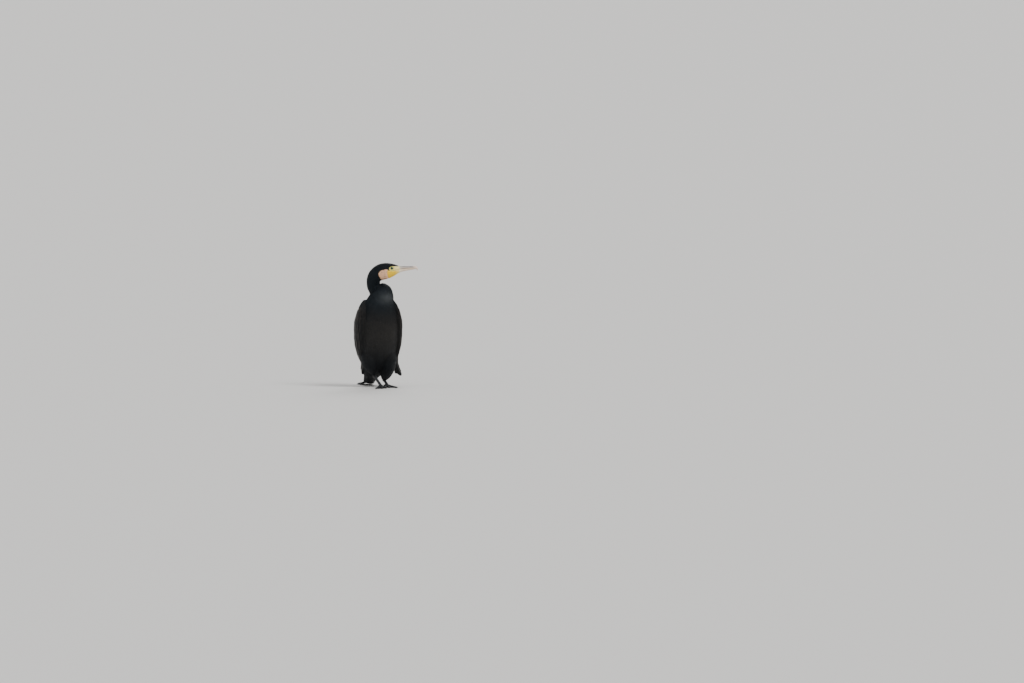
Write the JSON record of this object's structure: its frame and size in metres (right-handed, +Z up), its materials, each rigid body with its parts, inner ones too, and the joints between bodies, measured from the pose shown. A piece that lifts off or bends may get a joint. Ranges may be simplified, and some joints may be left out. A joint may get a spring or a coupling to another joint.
{
  "type": "bird model",
  "caption": "Life-size great cormorant standing upright at rest with folded wings, head turned to its left, tail laid on the floor.",
  "frame": {"origin": "on the floor under the middle of the whole bird's box", "axes": "+Z up, the bird's breast faces -Y, its left side is +X; head and bill are turned to its left"},
  "size_m": [0.2214, 0.3708, 0.4516],
  "materials": {
    "plumage": "soft sheen",
    "flight_feathers": "silky",
    "head": "soft",
    "bill_horn": "horn",
    "eye": "wet",
    "foot_skin": "scaly",
    "claw": "horn"
  },
  "bodies": {
    "root": {"bill_lower": "bill_horn", "bill_upper": "bill_horn", "claw_left_hind": "claw", "claw_left_inner": "claw", "claw_left_middle": "claw", "claw_left_outer": "claw", "claw_right_hind": "claw", "claw_right_inner": "claw", "claw_right_middle": "claw", "claw_right_outer": "claw", "eye_left": "eye", "eye_right": "eye", "foot_left": "foot_skin", "foot_right": "foot_skin", "head": "head", "leg_left": "foot_skin", "leg_right": "foot_skin", "neck_lower": "plumage", "neck_upper": "plumage", "tail": "flight_feathers", "thigh_left": "plumage", "thigh_right": "plumage", "torso": "plumage", "wing_left": "flight_feathers", "wing_right": "flight_feathers"}
  },
  "joints": []
}
